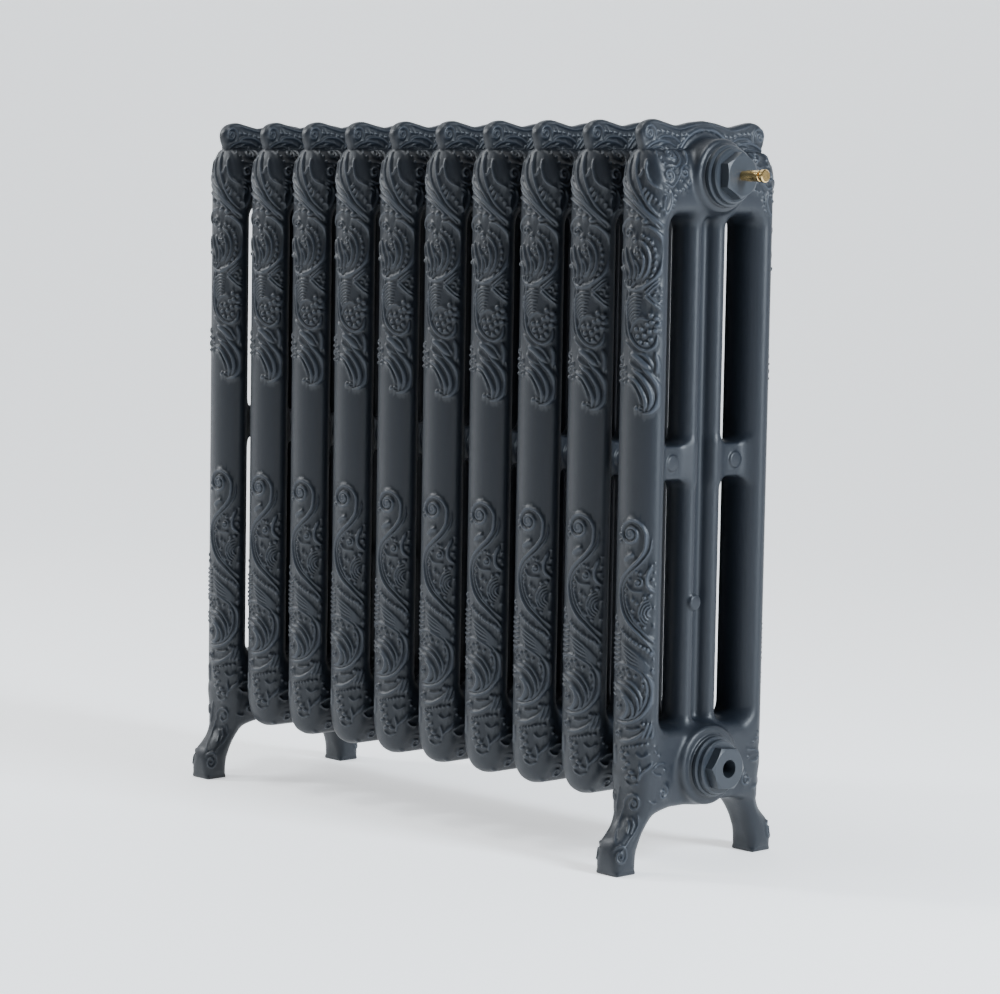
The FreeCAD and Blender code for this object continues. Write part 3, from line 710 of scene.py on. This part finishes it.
def speckle(tree, scale, low, high, detail=4.0):
    """Noise over the object's own coordinates, mapped between two numbers."""
    place = tree.nodes.new("ShaderNodeTexCoord")
    noise = tree.nodes.new("ShaderNodeTexNoise")
    noise.inputs["Scale"].default_value = scale
    noise.inputs["Detail"].default_value = detail
    spread = tree.nodes.new("ShaderNodeMapRange")
    spread.inputs["To Min"].default_value = low
    spread.inputs["To Max"].default_value = high
    tree.links.new(place.outputs["Object"], noise.inputs["Vector"])
    tree.links.new(noise.outputs["Fac"], spread.inputs["Value"])
    return spread.outputs["Result"]


def mixed(tree, amount, first, second):
    """One colour turning into another."""
    mix = tree.nodes.new("ShaderNodeMix")
    mix.data_type = "RGBA"
    tree.links.new(amount, mix.inputs["Factor"])
    mix.inputs["A"].default_value = (*first, 1)
    mix.inputs["B"].default_value = (*second, 1)
    return mix.outputs["Result"]


def roughen(tree, shader, scale, strength):
    """Fine bumps all over a surface."""
    bump = tree.nodes.new("ShaderNodeBump")
    bump.inputs["Strength"].default_value = strength
    bump.inputs["Distance"].default_value = 0.0004
    tree.links.new(speckle(tree, scale, 0.0, 1.0, 6.0), bump.inputs["Height"])
    tree.links.new(bump.outputs["Normal"], shader.inputs["Normal"])


def painted_iron():
    """Satin blue-black paint over the grain of a sand casting, with a painted highlight that makes
    raised ornament lighter.
    """
    material, tree, shader = new_material("painted_iron")
    highlight_height = tree.nodes.new("ShaderNodeAttribute")
    highlight_height.attribute_name = "highlight_height"
    spread = tree.nodes.new("ShaderNodeMapRange")
    spread.inputs["From Max"].default_value = 2.6
    tree.links.new(highlight_height.outputs["Fac"], spread.inputs["Value"])
    # painted highlight: the colour grows lighter the higher the ornament stands above the face
    tint = mixed(tree, spread.outputs["Result"], (0.0090, 0.0120, 0.0170), (0.030, 0.037, 0.048))
    tree.links.new(tint, shader.inputs["Base Color"])
    tree.links.new(speckle(tree, 160, 0.36, 0.50), shader.inputs["Roughness"])
    shader.inputs["Specular IOR Level"].default_value = 0.35
    roughen(tree, shader, 900, 0.35)
    return material


def painted_fittings():
    """The same paint on machined bushes, a little smoother."""
    material, tree, shader = new_material("painted_fittings")
    tint = mixed(tree, speckle(tree, 90, 0, 1), (0.016, 0.020, 0.026), (0.022, 0.027, 0.034))
    tree.links.new(tint, shader.inputs["Base Color"])
    tree.links.new(speckle(tree, 300, 0.36, 0.48), shader.inputs["Roughness"])
    shader.inputs["Specular IOR Level"].default_value = 0.35
    roughen(tree, shader, 1400, 0.15)
    return material


def plain(name, dark, light, roughness, metallic, scale):
    """A colour that wanders a little, for the small parts."""
    material, tree, shader = new_material(name)
    tree.links.new(mixed(tree, speckle(tree, scale, 0, 1), dark, light), shader.inputs["Base Color"])
    low, high = roughness
    tree.links.new(speckle(tree, scale * 2, low, high), shader.inputs["Roughness"])
    shader.inputs["Metallic"].default_value = metallic
    return material


def dress(node, material):
    """Give an object this material alone."""
    node.data.materials.clear()
    node.data.materials.append(material)


# ---- the stage ----

def add_camera():
    """A camera at the photograph's viewing angle, with a slight roll."""
    azimuth, lift = math.radians(VIEW_AZIMUTH), math.radians(VIEW_LIFT)
    roll = math.radians(VIEW_ROLL)
    level = math.cos(lift)
    back = Vector((math.sin(azimuth) * level, -math.cos(azimuth) * level, math.sin(lift)))
    right = Vector((math.cos(azimuth), math.sin(azimuth), 0))
    up = back.cross(right)
    turned_right = math.cos(roll) * right + math.sin(roll) * up
    turned_up = math.cos(roll) * up - math.sin(roll) * right
    middle = Vector(((FIRST_X + PITCH * (SECTIONS - 1) / 2) * MM, 0, 0))
    target = middle + VIEW_SHIFT_RIGHT * turned_right + VIEW_SHIFT_UP * turned_up
    data = bpy.data.cameras.new("camera")
    data.lens = LENS
    data.sensor_width = 36
    data.dof.use_dof = False
    camera = bpy.data.objects.new("camera", data)
    bpy.context.scene.collection.objects.link(camera)
    basis = Matrix((turned_right, turned_up, back)).transposed().to_4x4()
    camera.matrix_world = Matrix.Translation(target + VIEW_DISTANCE * back) @ basis
    bpy.context.scene.camera = camera


def add_light(name, place, size, power, colour):
    """A soft box that faces the middle of the radiator."""
    data = bpy.data.lights.new(name, "AREA")
    data.shape = "RECTANGLE"
    data.size, data.size_y = size
    data.energy = power
    data.color = colour
    lamp = bpy.data.objects.new(name, data)
    lamp.location = place
    towards = Vector((0, 0, 0.4)) - lamp.location
    lamp.rotation_euler = towards.to_track_quat("-Z", "Y").to_euler()
    bpy.context.scene.collection.objects.link(lamp)


def glowing(name, colour, strength):
    """A pale surface that also gives out a little light, like a lit studio sweep."""
    material, tree, shader = new_material(name)
    tree.links.new(speckle(tree, 2, 0.7, 0.8), shader.inputs["Roughness"])
    shader.inputs["Base Color"].default_value = (*colour, 1)
    shader.inputs["Emission Color"].default_value = (*colour, 1)
    shader.inputs["Emission Strength"].default_value = strength
    return material


def add_sweep():
    """A floor that curves up into a wall behind the object, one sheet with no corner."""
    azimuth = math.radians(VIEW_AZIMUTH)
    behind = Vector((-math.sin(azimuth), math.cos(azimuth), 0))
    along = Vector((math.cos(azimuth), math.sin(azimuth), 0))
    profile = [(-SWEEP_HALF, 0), (SWEEP_FLAT, 0)]
    for step in range(1, SWEEP_STEPS + 1):
        angle = math.radians(90 * step / SWEEP_STEPS)
        profile.append((SWEEP_FLAT + SWEEP_BEND * math.sin(angle), SWEEP_BEND * (1 - math.cos(angle))))
    profile.append((SWEEP_FLAT + SWEEP_BEND, SWEEP_TOP))
    points = []
    for away, height in profile:
        for side in (-SWEEP_HALF, SWEEP_HALF):
            points.append(behind * away + along * side + Vector((0, 0, height)))
    quads = [(2 * k, 2 * k + 1, 2 * k + 3, 2 * k + 2) for k in range(len(profile) - 1)]
    mesh = bpy.data.meshes.new("sweep")
    mesh.from_pydata(points, [], quads)
    mesh.shade_smooth()
    sweep = bpy.data.objects.new("sweep", mesh)
    bpy.context.scene.collection.objects.link(sweep)
    dress(sweep, glowing("sweep_white", (0.84, 0.855, 0.87), 0.9))


def add_stage():
    """The sweep, an even dim sky and three soft boxes."""
    world = bpy.data.worlds.new("studio")
    world.use_nodes = True
    world.node_tree.nodes["Background"].inputs["Color"].default_value = (0.95, 0.97, 1.0, 1)
    world.node_tree.nodes["Background"].inputs["Strength"].default_value = 0.17
    bpy.context.scene.world = world
    add_sweep()
    add_light("key", (-2.6, -1.6, 2.1), (0.45, 1.3), 80, (0.93, 0.97, 1.0))
    add_light("side", (3.0, 0.3, 1.6), (0.7, 1.6), 210, (0.82, 0.91, 1.0))
    add_light("top", (-0.4, -0.6, 3.0), (1.2, 0.8), 45, (0.93, 0.97, 1.0))


# ---- the scene ----

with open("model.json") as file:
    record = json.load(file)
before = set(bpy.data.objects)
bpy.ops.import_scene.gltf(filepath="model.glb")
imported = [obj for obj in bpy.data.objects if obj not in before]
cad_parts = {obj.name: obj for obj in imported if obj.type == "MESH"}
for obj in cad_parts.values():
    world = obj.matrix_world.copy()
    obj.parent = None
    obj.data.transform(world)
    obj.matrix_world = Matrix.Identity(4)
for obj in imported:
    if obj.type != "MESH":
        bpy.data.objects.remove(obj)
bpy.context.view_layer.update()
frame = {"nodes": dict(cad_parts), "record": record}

# the drawings, each between its lower left and upper right corners
face = Drawing((-33, 60), (33, 736))
upper_panel(face)
lower_panel(face)
flank = Drawing((-2, 60), (98, 764))
flank_ornament(flank)
leg = Drawing((-60, 0), (60, 96))
leg_ornament(leg)

iron = painted_iron()
end_mesh = casting_mesh("end_casting", True, face, flank, leg)
middle_mesh = casting_mesh("middle_casting", False, face, flank)
middle_sections = [f"middle_section_{number}" for number in range(2, SECTIONS)]
for index, node in enumerate(["left_end_section"] + middle_sections + ["right_end_section"]):
    mesh = middle_mesh if node in middle_sections else end_mesh
    piece = bpy.data.objects.new(f"{node}_casting", mesh)
    bpy.context.scene.collection.objects.link(piece)
    piece.location.x = (FIRST_X + PITCH * index) * MM
    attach(piece, "radiator")
    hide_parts(node)
for mesh in (end_mesh, middle_mesh):
    mesh.materials.append(iron)

slots = {
    "painted_iron": iron,
    "painted_fittings": painted_fittings(),
    "nipple_iron": plain("nipple_iron", (0.16, 0.15, 0.14), (0.24, 0.22, 0.20), (0.45, 0.6), 0.8, 120),
    "gasket": plain("gasket", (0.030, 0.030, 0.032), (0.045, 0.045, 0.048), (0.7, 0.85), 0.0, 200),
    "brass": plain("brass", (0.72, 0.50, 0.20), (0.86, 0.62, 0.28), (0.16, 0.26), 1.0, 150),
    "seal_rubber": plain("seal_rubber", (0.02, 0.02, 0.02), (0.03, 0.03, 0.03), (0.6, 0.8), 0.0, 300),
}
for subpart in frame["record"]["subparts"]:
    node = frame["nodes"][subpart["node"]]
    if not node.hide_render:
        dress(node, slots[subpart["material_slot"]])

add_stage()
add_camera()
